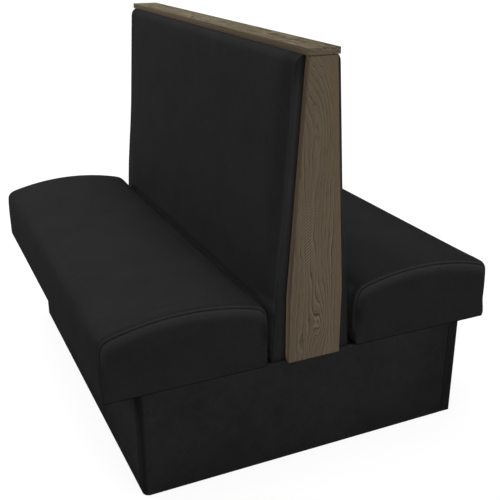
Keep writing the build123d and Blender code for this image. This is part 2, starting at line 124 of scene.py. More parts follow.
class BoothSeatSettings(bpy.types.PropertyGroup):
    """Sizes of the seat cushions."""

    front_height: length("Front height", "Height of the cushion at its front edge", 0.162)
    rear_height: length("Rear height", "Height of the cushion at its rear edge", 0.166)
    crown_share: share("Crown place", "How far back from the front the crown is highest", 0.57)
    front_radius: length("Front radius", "Rounding of the front top edge", 0.026)
    rear_radius: length("Rear radius", "Rounding of the rear top edge", 0.040)
    side_bulge: length("Front bulge", "How far the front face swells", 0.004)
    rear_bulge: length("Rear bulge", "How far the rear face swells towards the pad", 0.008)
    end_roll: length("End roll", "How far along the cushion the end panel turns over the foam", 0.016)
    end_drop: length("End roll, drop", "How far down the end panel the roll reaches", 0.034)
    end_foot: length("End roll, foot", "Rounding of the end panel at the frame", 0.005)
    side_share: share("Side share", "How much of the drop the upright edges have", 0.42)
    end_bulge: length("End bulge", "How far the end panels swell in the middle", 0.002)
    underside_rise: length("Underside rise", "How far the middle of the underside lies above its rim", 0.0013)
    underside_rim: length("Underside rim", "Width of the vinyl that shows under the frame", 0.040)
    seam_inset: length("Seam inset", "How far the end seam lies from the end of the cushion", 0.0045)
    seam_depth: length("Seam depth", "How deep the seam draws the vinyl in", 0.0012)
    end_swell: length("End swell", "How far the end panels stand beyond the frame", 0.002)
    swell: length("Swell", "The most that the foam pushes the vinyl out", 0.004)


class BoothPadSettings(bpy.types.PropertyGroup):
    """Sizes of the back pads."""

    thickness: length("Thickness", "Thickness of a pad at its edges", PAD_THICKNESS)
    crown: length("Crown", "How far a pad swells half way up", 0.009)
    end_radius: length("End roll", "Rounding of the upright edges", 0.011)
    end_foot: length("End roll, foot", "Rounding of the upright edges beside the seat", 0.003)
    end_slope: length("End slope", "How far the face slopes in towards its upright edges", 0.005)
    slope_width: length("Slope width", "Distance from the ends over which the face slopes", 0.062)
    foot_height: length("Foot height", "Height above the base at which the full roll begins", 0.460, 1.0)
    crown_width: length("Crown width", "Distance from the ends over which the crown rises", 0.110)
    top_radius: length("Top roll", "Rounding of the top edge", 0.024)
    bottom_radius: length("Bottom roll", "Rounding of the bottom edge", 0.003)
    swell: length("Swell", "The most that the foam pushes the vinyl out", 0.003)


class BoothWoodSettings(bpy.types.PropertyGroup):
    """Shape and colours of the oak."""

    shoulder_rise: length("Shoulder rise", "Height of the upright part of an end board", SHOULDER_RISE, 0.5)
    top_width: length("Top width", "Width of an end board at its top", TOP_WIDTH)
    ease: length("Eased edge", "Width of the rounded edges", 0.0012)
    main: colour("Main", "Colour of the oak between its grain lines", (0.1010, 0.0800, 0.0550))
    grain: colour("Grain", "Colour of the grain lines", (0.048, 0.034, 0.020))
    stave: colour("Edge stave", "Colour of the browner stave along one edge", (0.0975, 0.0708, 0.0455))
    stave_width: length("Stave width", "Width of the browner stave", 0.019)
    fleck: colour("Fleck", "Colour of the pale flecks", (0.130, 0.105, 0.074))
    band: colour("Edge band", "Colour of the narrow sides", (0.082, 0.060, 0.042))


class BoothVinylSettings(bpy.types.PropertyGroup):
    """Colour and surface of the vinyl."""

    seat: colour("Upholstery", "Colour of the vinyl on the seats and pads", (0.0141, 0.0141, 0.0143))
    base: colour("Base", "Colour of the vinyl round the base", (0.0152, 0.0152, 0.0152))
    roughness: share("Roughness", "Roughness of the upholstery vinyl", 0.46)
    joint_groove: length("Joint groove", "Width of the joints in the base covering", 0.0018)
    rounded_lap: length("Rounded lap", "Width of the left lap at the ends of the base", 0.0175)
    plain_lap: length("Plain lap", "Width of the right lap at the ends of the base", 0.032)
    top_fold: length("Top fold", "Width of the base vinyl that lies on the deck", 0.012)
    bottom_fold: length("Bottom fold", "Width of the base vinyl that lies under the panels", 0.0192)
    rounded_radius: length("Rounded corner", "Radius of the near left corner of the base", 0.017)
    plain_radius: length("Plain corner", "Radius of the other corners of the base", 0.003)


class BoothStageSettings(bpy.types.PropertyGroup):
    """Camera, floor and lamps."""

    azimuth: angle("Azimuth", "Direction the camera looks from", -24.912)
    elevation: angle("Elevation", "Height of the camera above the horizon", 21.841)
    lens: FloatProperty(name="Lens", description="Focal length on a 36 mm sensor", default=57.446,
                        min=10.0, max=200.0, unit="CAMERA")
    eye: FloatVectorProperty(name="Eye", description="Place of the camera", size=3, unit="LENGTH",
                             default=(-0.9057, -2.1978, 1.3064))
    overhead: power("Overhead lamp", "Power of the large lamp above", 140.0)
    front: power("Front lamp", "Power of the lamp in front of the near end", 80.0)
    rear: power("Rear lamp", "Power of the lamp beyond the left seat", 500.0)
    high: power("High lamp", "Power of the high lamp beyond the far end", 42.0)
    right: power("Right lamp", "Power of the lamp beyond the right seat", 75.0)
    sky: FloatProperty(name="Sky", description="Strength of the even light from all round",
                       default=0.02, min=0.0)
    floor: colour("Floor", "Colour of the floor", (0.80, 0.80, 0.80))


# Shader maths

def maths(operation, reflected=False):
    """A method that adds a Math node on a Shade and the other values, if there are any."""
    def method(self, *others):
        values = (*others, self) if reflected else (self, *others)
        return self.tree.add("ShaderNodeMath", {"operation": operation}, dict(enumerate(values)))
    return method


class Shade:
    """An output of a shader node. Arithmetic on it adds Math nodes; wave is its sine."""

    def __init__(self, tree, socket):
        self.tree = tree
        self.socket = socket

    __add__, __radd__ = maths("ADD"), maths("ADD", reflected=True)
    __sub__, __rsub__ = maths("SUBTRACT"), maths("SUBTRACT", reflected=True)
    __mul__, __rmul__ = maths("MULTIPLY"), maths("MULTIPLY", reflected=True)
    __truediv__, __rtruediv__ = maths("DIVIDE"), maths("DIVIDE", reflected=True)
    __pow__, __abs__ = maths("POWER"), maths("ABSOLUTE")
    least, most, wave = maths("MINIMUM"), maths("MAXIMUM"), maths("SINE")

    def __neg__(self):
        return self * -1.0

    def lift(self, amount):
        """The value made larger by a share of itself, or smaller by one below nothing."""
        return self * (1.0 + amount)

    def ramp(self, low, high, smooth=True):
        """0 below low and 1 above high, with a soft step between."""
        kind = "SMOOTHSTEP" if smooth else "LINEAR"
        return self.tree.add("ShaderNodeMapRange", {"interpolation_type": kind},
                             {"Value": self, "From Min": low, "From Max": high})

    def fall(self, low, high, smooth=True):
        """1 below low and 0 above high."""
        return 1.0 - self.ramp(low, high, smooth)

    def between(self, rise, fall):
        """1 in a zone that begins over one pair of values and ends over another."""
        return self.ramp(*rise) * self.fall(*fall)

    def past(self, place, blur):
        """0 before a place and 1 after it."""
        return self.ramp(place - blur, place + blur)


class Finish:
    """The nodes of a material or of the sky: one method adds any node."""

    def __init__(self, owner):
        owner.use_nodes = True
        self.owner = owner
        self.nodes = owner.node_tree.nodes
        self.links = owner.node_tree.links
        self.nodes.clear()

    def add(self, kind, settings=None, values=None, output=0):
        """A node of this type, with its settings and the values or links of its sockets."""
        node = self.nodes.new(kind)
        for key, value in (settings or {}).items():
            setattr(node, key, value)
        for key, value in (values or {}).items():
            socket = node.inputs[key]
            if isinstance(value, Shade):
                self.links.new(value.socket, socket)
            elif socket.type == "RGBA":
                socket.default_value = (*value, 1.0)
            else:
                socket.default_value = value
        return Shade(self, node.outputs[output]) if node.outputs else None

    def place(self):
        """The place on the piece, in metres, and its three parts: across, along and up."""
        coordinates = self.add("ShaderNodeTexCoord", output="Object")
        axes = [self.add("ShaderNodeSeparateXYZ", {}, {0: coordinates}, output=axis) for axis in "XYZ"]
        return coordinates, axes

    def vector(self, x, y, z):
        return self.add("ShaderNodeCombineXYZ", {}, {"X": x, "Y": y, "Z": z})

    def noise(self, vector, scale, detail=2.0, roughness=0.5, distortion=0.0):
        return self.add("ShaderNodeTexNoise", {}, {
            "Vector": vector, "Scale": scale, "Detail": detail, "Roughness": roughness,
            "Distortion": distortion})

    def cells(self, vector, scale, feature="F1"):
        return self.add("ShaderNodeTexVoronoi", {"feature": feature}, {"Vector": vector, "Scale": scale},
                        output="Distance")

    def blend(self, factor, first, second, mode="MIX"):
        """Two colours mixed."""
        return self.add("ShaderNodeMix", {"data_type": "RGBA", "blend_type": mode},
                        {0: factor, 6: first, 7: second}, output=2)

    def shaded(self, tint, tone):
        """A colour made lighter or darker from place to place."""
        return self.blend(1.0, tint, self.vector(tone, tone, tone), "MULTIPLY")

    def bump(self, height, strength, distance, **under):
        """A relief, over another one where Normal is given."""
        values = {"Height": height, "Strength": strength, "Distance": distance, **under}
        return self.add("ShaderNodeBump", {}, values)

    def seen(self):
        """1 where the camera sees this straight, in a reflection or through glass."""
        rays = [self.add("ShaderNodeLightPath", output=f"Is {ray} Ray")
                for ray in ("Camera", "Glossy", "Transmission")]
        return rays[0].most(rays[1]).most(rays[2])

    def surface(self, tint, roughness, normal, gloss=0.0, metallic=0.0):
        """Closes the material with a Principled shader."""
        shader = self.add("ShaderNodeBsdfPrincipled", {}, {
            "Base Color": tint, "Roughness": roughness, "Normal": normal,
            "Specular IOR Level": gloss, "Metallic": metallic})
        self.add("ShaderNodeOutputMaterial", {}, {"Surface": shader})
        return self.owner


# Vinyl finishes

# How much lighter the vinyl is in places, or darker below nothing, as a share of its colour. Most of these
# are painted light and shade; the base's lap is only made darker
SEAM_ROLL_HIGHLIGHT = 0.52
REAR_GAP_LIGHT = 1.3
REAR_GAP_MIDDLE_LIGHT = 3.4
REAR_CORNER_SHADE = -0.34
SEAT_RIM_SHADOW = -0.70
PAD_FOOT_LIGHT = 3.4
PAD_LOWER_LIGHT = 0.14
PAD_EDGE_SHADE = -0.20
PAD_HOLLOW_SHADE = -0.12
BASE_LAP_LIFT = -0.18
BASE_RIGHT_SHADE = -0.16
BASE_CORNER_SHADE = -0.30
BASE_TOP_LIGHT = 0.5
# Colour of the lips beside an end seam, as a share of the vinyl's colour: a painted highlight
SEAM_LIP_HIGHLIGHT = 2.2
# Colour of the seam line: a dark thread, with the painted shade of the seam's groove
THREAD_AND_GROOVE_SHADE = (0.001, 0.001, 0.001)


def new_finish(name):
    """The empty nodes of a new material."""
    return Finish(bpy.data.materials.new(name))


def scaled(tint, amount):
    """A colour made lighter or darker all over."""
    return tuple(value * amount for value in tint)


def vinyl_ground(finish, where):
    """The upholstery vinyl's broad clouds, its blotches, and the tone that they make."""
    broad = finish.noise(where, 9.0, 3.0, 0.55)
    blotch = finish.noise(where, 70.0, 4.0, 0.6)
    return broad, blotch, broad * 0.30 + blotch * 0.34 + 0.68


def vinyl_surface(finish, settings, where, broad, blotch, tint):
    """Closes an upholstery vinyl: a fine pebble grain over a surface that is a little slack."""
    pebble = finish.cells(where, 1100.0, "SMOOTH_F1")
    wrinkle = finish.noise(where, 420.0, 3.0, 0.6, 0.4)
    rough = settings.roughness + (broad - 0.5) * 0.10 + (blotch - 0.5) * 0.12 + pebble * 0.06
    grain = finish.bump(pebble * 0.7 + wrinkle * 0.5, 0.16, 0.0006)
    return finish.surface(tint, rough, finish.bump(broad, 0.10, 0.006, Normal=grain))


def cushion_finish(settings, seams):
    """The vinyl of the seat cushions, with a dark thread line and painted groove shade along each end seam,
    painted highlights on the two lips beside it, and painted light and shade elsewhere.

    Its zones are in metres beyond the seams, ahead of the rear face and up from the underside.
    """
    finish = new_finish("Cushion vinyl")
    where, (x, y, z) = finish.place()
    broad, blotch, tone = vinyl_ground(finish, where)
    beyond = abs(y - sum(seams) / 2) - (seams[1] - seams[0]) / 2
    ahead = abs(x) - SEAT_LOW[0]
    up = z - SEAT_LOW[2]
    upper = up.ramp(0.085, 0.135)
    # Painted highlight on the end roll beside each seam, on the upper part
    roll = beyond.between((-0.006, 0.002), (0.0048, 0.0070)) * upper
    # Painted light on the rear face in the gap behind the seat, stronger further in from the seams
    rear = ahead.fall(-0.006, 0.014) * beyond.between((-0.12, -0.05), (-0.004, 0.002)) * up.fall(0.13, 0.17)
    rear_middle = beyond.fall(-0.030, -0.012)
    # Painted shade on the end panel near its rear corner, half way up
    rear_corner_shade = ahead.fall(0.0, 0.024) * beyond.ramp(-0.008, 0.001)
    rear_corner_shade = rear_corner_shade * up.between((0.05, 0.09), (0.13, 0.165))
    # Painted shadow along the cushion's bottom edge, where it meets the base
    rim = up.fall(0.0012, 0.0030)
    tone = tone.lift(roll * SEAM_ROLL_HIGHLIGHT).lift(rear * (rear_middle * REAR_GAP_MIDDLE_LIGHT + REAR_GAP_LIGHT))
    tone = tone.lift(rear_corner_shade * REAR_CORNER_SHADE).lift(rim * SEAT_RIM_SHADOW)
    tint = finish.shaded(settings.seat, tone)
    # Painted highlight on the lips beside each seam, stronger on the upper part
    lips = abs(beyond).between((0.0008, 0.0016), (0.0026, 0.0050)) * (upper * 0.65 + 0.35)
    tint = finish.blend(lips * 0.40, tint, scaled(settings.seat, SEAM_LIP_HIGHLIGHT))
    # Dark thread line of each seam, with painted shade of its groove, fainter low down
    line = abs(beyond).fall(0.0004, 0.0011) * (upper * 0.45 + 0.05)
    tint = finish.blend(line, tint, THREAD_AND_GROOVE_SHADE)
    return vinyl_surface(finish, settings, where, broad, blotch, tint)


def pad_finish(settings):
    """The vinyl of the back pads, with painted light and shade.

    Its zones are in metres in from the nearer end of a pad, back from its front, and above the floor.
    """
    finish = new_finish("Pad vinyl")
    where, (x, y, z) = finish.place()
    broad, blotch, tone = vinyl_ground(finish, where)
    inward = (y - PAD_LOW[1]).least(PAD_HIGH[1] - y)
    face = inward.ramp(0.0, 0.0026)
    # Painted light on the pad low down behind the seat, most near the ends and none at the far end, and a
    # little more painted light on its lower part
    beside = inward.fall(0.05, 0.12)
    foot = beside * z.fall(0.33, 0.46, False) + (1.0 - beside) * z.fall(0.413, 0.440)
    foot = foot * y.fall(0.48, 0.57)
    tone = tone.lift(face * (foot * PAD_FOOT_LIGHT + z.fall(0.50, 0.95) * PAD_LOWER_LIGHT))
    front = PAD_LOW[0] + PAD_THICKNESS + (PAD_HIGH[2] - z) * board_lean()
    # Painted shade on the end faces near their front, low down beside the seat
    edge = (1.0 - face) * (front - abs(x)).fall(0.0, 0.022) * z.fall(0.44, 0.52)
    # Painted highlight along the rolled ends, stronger higher up and none at the top corner
    roll = inward.fall(0.0, 0.014) * (z.ramp(0.45, 0.75) * 0.38 + 0.24) * z.fall(0.965, 1.035)
    # Painted shade in a soft band a little in from the ends, on the upper part
    hollow_shade = inward.between((0.008, 0.020), (0.045, 0.075)) * z.ramp(0.5, 0.6)
    tone = tone.lift(edge * PAD_EDGE_SHADE).lift(roll).lift(hollow_shade * PAD_HOLLOW_SHADE)
    tint = finish.shaded(settings.seat, tone)
    return vinyl_surface(finish, settings, where, broad, blotch, tint)


def base_vinyl_finish(settings):
    """Black vinyl on the base: matter and more mottled than the upholstery, with painted light and shade in
    places.
    """
    finish = new_finish("Base vinyl")
    where, (x, y, z) = finish.place()
    broad = finish.noise(where, 6.0, 3.0, 0.6)
    mottle = finish.noise(where, 30.0, 5.0, 0.65, 0.5)
    speck = finish.noise(where, 230.0, 3.0, 0.65)
    tone = broad * 0.50 + mottle * 0.62 + speck * 0.70 + 0.10
    ends = (y - BASE_LOW[1]).least(BASE_HIGH[1] - y).fall(0.0020, 0.0030)
    lap = x.past(BASE_HIGH[0] - settings.plain_lap, 0.0004)
    # Painted shade on the rounded near left corner
    corner = (x - BASE_LOW[0]).fall(0.006, 0.011) * (y - BASE_LOW[1]).fall(0.036, 0.044)
    # On the end faces: the right lap darker, and painted shade on the right-hand part
    tone = tone.lift(ends * (lap * BASE_LAP_LIFT + x.ramp(0.25, 0.46) * BASE_RIGHT_SHADE))
    # The corner's painted shade, and painted light on the vinyl folded over the deck
    tone = tone.lift(corner * BASE_CORNER_SHADE).lift(z.past(BASE_HIGH[2], 0.0002) * BASE_TOP_LIGHT)
    rough = 0.52 + (mottle - 0.5) * 0.25 + (broad - 0.5) * 0.10
    grain = finish.bump(finish.cells(where, 700.0, "SMOOTH_F1") + speck * 0.6, 0.22, 0.0008)
    return finish.surface(finish.shaded(settings.base, tone), rough, grain)


# Oak finishes

# Places on an end board, in metres: across, up, half width and half height, and the strength there
SWIRLS = (
    (0.010, 0.388, 0.030, 0.070, -3.3),
    (0.000, 0.350, 0.010, 0.018, 0.6),
    (0.030, 0.470, 0.020, 0.060, -0.9),
    (-0.020, 0.620, 0.014, 0.110, 0.6),
    (-0.026, 0.935, 0.005, 0.012, 1.0),
)
CLEAR_LINES = (
    (0.014, 0.420, 0.045, 0.110, 0.75),
    (-0.003, 0.975, 0.016, 0.060, 0.25),
    (0.037, 0.590, 0.009, 0.120, 0.9),
    (-0.020, 0.600, 0.020, 0.100, 0.3),
)
STREAKS = ((-0.012, 0.960, 0.016, 0.070, 1.6),)
# Growth rings in a metre across and through the wood, and where and how much they lean near a board's top
BOARD_RINGS = (98.0, 60.0)
CAP_RINGS = (36.0, 130.0)
LEAN_START, LEAN = 0.85, 120.0
# Distance between the short marks of a board's comb, in metres
COMB_PITCH = 0.0085
# Colour of the joint under the cap, a dark line that is partly painted shade, and what is kept of each colour
# on the cap's top, which is painted shade
CAP_JOINT_AND_SHADE = (0.01, 0.008, 0.006)
CAP_TOP_SHADE = (0.84, 0.89, 0.90)


def bell(square):
    """1 where the square of a distance is nothing, falling softly to nothing from about four on."""
    return 1.0 / (square + 1.0) ** 2.0


def spots(across, run, places):
    """The sum of soft spots on a board, each with its strength in its middle."""
    return sum(bell(((across - x) / width) ** 2.0 + ((run - z) / height) ** 2.0) * strength
               for x, z, width, height, strength in places)


def edge_stave(settings, across, run):
    """1 on the browner stave along the right edge of a board, which leans in with it."""
    lean = board_lean(settings.shoulder_rise, settings.top_width)
    side = across + (run - (BOARD_LOW[2] + settings.shoulder_rise)).most(0.0) * lean
    return side.past(BOARD_HIGH[0] - settings.stave_width, 0.0006)


def comb_marks(across, run, field, ripple):
    """Short light and dark marks across the grain, in a narrow zone half way up a board."""
    comb = ((run - across * 0.9) * (math.tau / COMB_PITCH) + ripple * 6.0 + field * 4.0).wave()
    middle = across + 0.0185 + (0.70 - run).most(0.0) * 0.075
    zone = bell((middle / 0.011) ** 2.0) * run.between((0.50, 0.535), (0.69, 0.73))
    return comb.ramp(0.0, 0.8) * zone * 1.5, (-comb).ramp(0.0, 0.8) * zone * 0.9


def board_edges(finish, settings, wood, fibre, depth, run):
    """The narrow sides of an end board, with painted light that makes them lighter low down and towards the
    pads, and its joint with the cap, darkened partly by painted shade.
    """
    within = -BOARD_LOW[1] - abs(depth)
    band = finish.blend(within.ramp(0.0125, 0.0145), settings.band, scaled(settings.band, 1.12))
    # Painted light on the narrow sides, stronger further back towards the pads and low down
    glow = within.ramp(0.003, 0.020, False) * 1.2 + 0.95
    glow = glow.lift(run.fall(0.30, 0.95, False) * 0.75 + run.fall(0.36, 0.66) * 0.55)
    side = finish.blend(fibre * 0.3, finish.shaded(band, glow), wood)
    wood = finish.blend(within.ramp(0.0010, 0.0022), wood, side)
    # Dark joint under the cap, partly painted shade
    return finish.blend((run - BOARD_HIGH[2]).ramp(-0.0022, -0.0008) * 0.8, wood, CAP_JOINT_AND_SHADE)


def cap_edges(finish, settings, wood, fibre, across, depth):
    """The narrow sides of the cap, and painted shade that makes its top darker and cooler."""
    side = finish.blend(fibre * 0.4, scaled(settings.band, 0.72), wood)
    wood = finish.blend((abs(across) - CAP_HIGH[0]).ramp(-0.0014, -0.0004) * 0.85, wood, side)
    # Painted shade on the cap's top
    top = finish.blend(1.0, wood, CAP_TOP_SHADE, "MULTIPLY")
    return finish.blend((depth - CAP_HIGH[2]).ramp(-0.0012, -0.0004), wood, top)


def oak_finish(name, settings, along, board):
    """Limed grey-brown oak. along is the axis of its grain; board is false for the cap, which is plainer."""
    finish = new_finish(name)
    _, axes = finish.place()
    run = axes[along]
    across, depth = [axes[axis] for axis in range(3) if axis != along]

    def drawn_out(amount):
        """The place, with the run of the grain counted only in part, so that a pattern is long in it."""
        return finish.vector(across, depth, run * amount)

    field = finish.noise(drawn_out(0.13), 20.0, 2.0, 0.5, 0.2)
    ripple = finish.noise(drawn_out(0.30), 60.0, 2.0, 0.5)
    if board:
        rings = across * BOARD_RINGS[0] + depth * BOARD_RINGS[1] + spots(across, run, SWIRLS)
        rings = rings + (run - LEAN_START).most(0.0) ** 2.0 * LEAN
        clear = spots(across, run, CLEAR_LINES) + 0.16
    else:
        wander = finish.noise(drawn_out(0.20), 20.0, 2.0, 0.5, 0.5)
        rings = across * CAP_RINGS[0] + depth * CAP_RINGS[1] + wander * 4.0
        clear = 0.65

    # Dark, light and fine lines follow the rings
    phase = (rings + field * 4.5 + ripple * 1.1) * math.tau
    figure = (ripple - 0.42).most(0.0) * 2.0 + clear
    dark = phase.wave().ramp(0.35, 1.0) * figure
    light = (phase + 1.5).wave().ramp(0.45, 1.0) * figure
    fine = (phase * 2.7 + field * 5.0).wave().ramp(0.2, 1.0)

    # Fibres, hair lines and pores run along the grain, and a soft cloud lies under all
    fibre = finish.noise(drawn_out(0.03), 620.0, 3.0, 0.7)
    hair = finish.noise(drawn_out(0.02), 1700.0, 2.0, 0.6)
    pore = finish.cells(drawn_out(0.06), 430.0).fall(0.08, 0.30)
    cloud = finish.noise(drawn_out(0.13), 12.0, 2.0, 0.5).ramp(0.38, 0.68)
    wood = finish.blend(cloud, scaled(settings.main, 0.93), scaled(settings.main, 1.08))
    if board:
        stave = edge_stave(settings, across, run)
        wood = finish.blend(stave * 0.9, wood, settings.stave)
        plain = 1.0 - stave * 0.7
        light_marks, dark_marks = comb_marks(across, run, field, ripple)
        dark, light = dark * plain + dark_marks, light * plain + light_marks
        fine = fine.lift(spots(across, run, STREAKS)) * plain
    lines = dark * 0.70 + fine * 0.26 + (fibre - 0.5).ramp(0.0, 0.2) * 0.28 + pore * 0.28
    wood = finish.blend(lines.least(1.0), wood, settings.grain)
    flecks = light * 0.80 + (0.5 - hair).ramp(0.02, 0.2) * 0.26
    wood = finish.blend(flecks.least(1.0), wood, settings.fleck)
    if board:
        wood = board_edges(finish, settings, wood, fibre, depth, run)
    else:
        wood = cap_edges(finish, settings, wood, fibre, across, depth)
    relief = finish.bump(fibre * 0.6 + light * 0.3 - pore * 0.6 - dark * 0.3, 0.20, 0.0003)
    return finish.surface(wood, 0.62 + dark * 0.08 + (fibre - 0.5) * 0.15, relief)


# Inner finishes

METAL = {"metallic": 1.0, "bump": 0.1}
LONG_GRAIN = {"stretch": 0.1}

# By slot: a name, a light and a dark tone, the pattern's scale, the roughness, and what differs from the rest
INSIDE = {
    "plywood": ("Birch plywood", (0.52, 0.36, 0.20), (0.42, 0.27, 0.14), 60.0, 0.6, LONG_GRAIN),
    "painted_plywood": ("Black plywood", (0.010, 0.010, 0.010), (0.006, 0.006, 0.006), 60.0, 0.8,
                        {"stretch": 0.1, "gloss": 0.0}),
    "softwood": ("Planed pine", (0.58, 0.40, 0.20), (0.47, 0.30, 0.13), 45.0, 0.6, LONG_GRAIN),
    "foam": ("Foam", (0.72, 0.66, 0.42), (0.64, 0.58, 0.36), 900.0, 0.95, {"bump": 0.6}),
    "felt": ("Pressed felt", (0.16, 0.14, 0.13), (0.11, 0.10, 0.09), 400.0, 0.95, {"bump": 0.6}),
    "dust_cloth": ("Dust cloth", (0.012, 0.012, 0.012), (0.006, 0.006, 0.006), 1500.0, 0.9,
                   {"bump": 0.5, "gloss": 0.0}),
    "spring_steel": ("Spring wire", (0.30, 0.30, 0.31), (0.22, 0.22, 0.23), 200.0, 0.38, METAL),
    "zinc": ("Zinc plate", (0.55, 0.55, 0.50), (0.44, 0.44, 0.41), 160.0, 0.35, METAL),
    "nylon": ("Nylon", (0.02, 0.02, 0.02), (0.014, 0.014, 0.014), 300.0, 0.5, {"bump": 0.1}),
}


def raw_finish(name, tint, dark, scale, roughness, metallic=0.0, bump=0.2, stretch=1.0, gloss=0.3):
    """A plain finish for what lies inside: two tones of one colour with a fine relief."""
    finish = new_finish(name)
    _, (x, y, z) = finish.place()
    pattern = finish.noise(finish.vector(x, y * stretch, z), scale, 4.0, 0.6, 0.3)
    mixed = finish.blend(pattern.ramp(0.35, 0.65), tint, dark)
    relief = finish.bump(pattern, bump, 0.0005)
    return finish.surface(mixed, roughness + (pattern - 0.5) * 0.2, relief, gloss, metallic)


# Modelling helpers

def deselect():
    """Leaves edit mode, with nothing selected."""
    if bpy.context.object and bpy.context.object.mode != "OBJECT":
        bpy.ops.object.mode_set(mode="OBJECT")
    bpy.ops.object.select_all(action="DESELECT")


def pick(piece):
    """Makes a piece the only selected object and the active one."""
    deselect()
    piece.select_set(True)
    bpy.context.view_layer.objects.active = piece


def block(name, low, high):
    """A cube primitive stretched between two corners, its place in its mesh, in edit mode."""
    deselect()
    low, high = Vector(low), Vector(high)
    bpy.ops.mesh.primitive_cube_add(size=1.0, location=(low + high) / 2, scale=high - low)
    piece = bpy.context.object
    piece.name = piece.data.name = name
    bpy.ops.object.transform_apply(location=True, rotation=True, scale=True)
    bpy.ops.object.mode_set(mode="EDIT")
    return piece


def select(piece, kind, test):
    """In edit mode, selects the faces, edges or vertices that pass a test, and nothing else."""
    bpy.ops.mesh.select_mode(type={"faces": "FACE", "edges": "EDGE", "verts": "VERT"}[kind])
    bpy.ops.mesh.select_all(action="DESELECT")
    mesh = bmesh.from_edit_mesh(piece.data)
    for item in getattr(mesh, kind):
        if test(item):
            item.select_set(True)
    mesh.select_flush_mode()
    bmesh.update_edit_mesh(piece.data)


def at(place, axes):
    """A test for an edge whose two ends lie at a place, as these axes measure it."""
    def test(edge):
        return all(abs(vertex.co[axis] - place[axis]) < SAME_PLACE for vertex in edge.verts for axis in axes)
    return test


def cut(places, axis):
    """In edit mode, cuts the whole mesh by planes square to an axis."""
    normal = [float(other == axis) for other in range(3)]
    for place in places:
        bpy.ops.mesh.select_all(action="SELECT")
        bpy.ops.mesh.bisect(plane_co=[place * part for part in normal], plane_no=normal)


def apply_modifier(piece, kind, **settings):
    """Adds a modifier to a piece and applies it."""
    pick(piece)
    modifier = piece.modifiers.new(kind.title(), kind)
    for key, value in settings.items():
        setattr(modifier, key, value)
    bpy.ops.object.modifier_apply(modifier=modifier.name)


def rows_of(items, key):
    """One vector of every item, as rows of numbers."""
    rows = np.empty(len(items) * 3)
    items.foreach_get(key, rows)
    return rows.reshape(-1, 3)


def points_of(piece):
    """The corners of a piece."""
    return rows_of(piece.data.vertices, "co")


def normals_of(piece):
    """The normals at the corners of a piece."""
    return rows_of(piece.data.vertex_normals, "vector")


def move_to(piece, points):
    """Puts the corners of a piece at new places."""
    piece.data.vertices.foreach_set("co", np.asarray(points, float).ravel())
    piece.data.update()


def smooth(amount):
    """A share eased at both its ends, for a number or an array."""
    amount = np.clip(amount, 0.0, 1.0)
    return amount * amount * (3 - 2 * amount)


def finish_piece(piece, material, slot, *nodes, degrees=None):
    """Shades a piece, gives it its material, hangs it under the root body and hides the CAD nodes that it
    stands for.
    """
    pick(piece)
    if degrees is None:
        bpy.ops.object.shade_smooth()
    else:
        bpy.ops.object.shade_smooth_by_angle(angle=math.radians(degrees))
    piece.data.materials.clear()
    piece.data.materials.append(material)
    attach(piece, "root")
    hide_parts(*nodes)


# Padded pieces

# The vinyl as a cloth with the foam's pressure in it
CLOTH = {
    "quality": 6,
    "mass": 0.3,
    "tension_stiffness": 30.0,
    "compression_stiffness": 30.0,
    "shear_stiffness": 12.0,
    "bending_stiffness": 2.0,
    "use_pressure": True,
    "uniform_pressure_force": 4.0,
}
CLOTH_FRAMES = 20
DRAWN_SHARE = 0.6


def grid_box(cells):
    """A box whose sides are divided into cells: its corners in cells, and its faces, facing out."""
    number, faces = {}, []
    for axis in range(3):
        u, v = (axis + 1) % 3, (axis + 2) % 3
        for end in (0, cells[axis]):
            for i, j in np.ndindex(cells[u], cells[v]):
                ring = []
                for step_u, step_v in ((0, 0), (1, 0), (1, 1), (0, 1)):
                    place = [end] * 3
                    place[u], place[v] = i + step_u, j + step_v
                    ring.append(number.setdefault(tuple(place), len(number)))
                faces.append(ring if end else ring[::-1])
    return list(number), faces


def padded_mesh(name, corners, faces, side):
    """A mesh object from corners on the right-hand side, mirrored for the left."""
    points = np.array(corners, float)
    if side == "left":
        points[:, 0] *= -1.0
        faces = [face[::-1] for face in faces]
    mesh = bpy.data.meshes.new(name)
    mesh.from_pydata(points.tolist(), [], faces)
    piece = bpy.data.objects.new(name, mesh)
    bpy.context.collection.objects.link(piece)
    return piece


def swell(piece, held, sewn, cap, ease):
    """Draws the vinyl over its foam, then lets the foam push it out as a cloth under pressure.

    Held corners stay where they are. Sewn corners keep the shape that the sewing gives them.
    """
    before = points_of(piece) + normals_of(piece) * ease * ~held[:, None]
    move_to(piece, before)
    pick(piece)
    group = piece.vertex_groups.new(name="held")
    group.add([int(i) for i in np.flatnonzero(held | sewn)], 1.0, "REPLACE")
    cloth = piece.modifiers.new("Cloth", "CLOTH")
    cloth.settings.vertex_group_mass = "held"
    for key, value in CLOTH.items():
        setattr(cloth.settings, key, value)
    cloth.settings.effector_weights.gravity = 0.0
    cloth.point_cache.frame_start, cloth.point_cache.frame_end = 1, CLOTH_FRAMES
    for number in range(1, CLOTH_FRAMES + 1):
        bpy.context.scene.frame_set(number)
    bpy.ops.object.modifier_apply(modifier="Cloth")
    bpy.context.scene.frame_set(1)
    piece.vertex_groups.clear()
    pushed = points_of(piece) - before
    reach = np.maximum(np.linalg.norm(pushed, axis=1, keepdims=True), 1e-9)
    move_to(piece, before + pushed * (cap * np.tanh(reach / cap) / reach))


# Seat cushions

# Cells of a cushion: across, up, in each end roll and along between them
ACROSS, UP, ROLL, ALONG = 40, 18, 8, 84
# Points in half of a rounded corner, and rows of cells over which the foot becomes the full roll
HALF_TURN = 12
FOOT_ROWS = 7
# How far from a seam the mesh is cut, so that the seam can be drawn in
SEAM_CUTS = (0.0007, 0.0014, 0.0022, 0.0032, 0.0045)
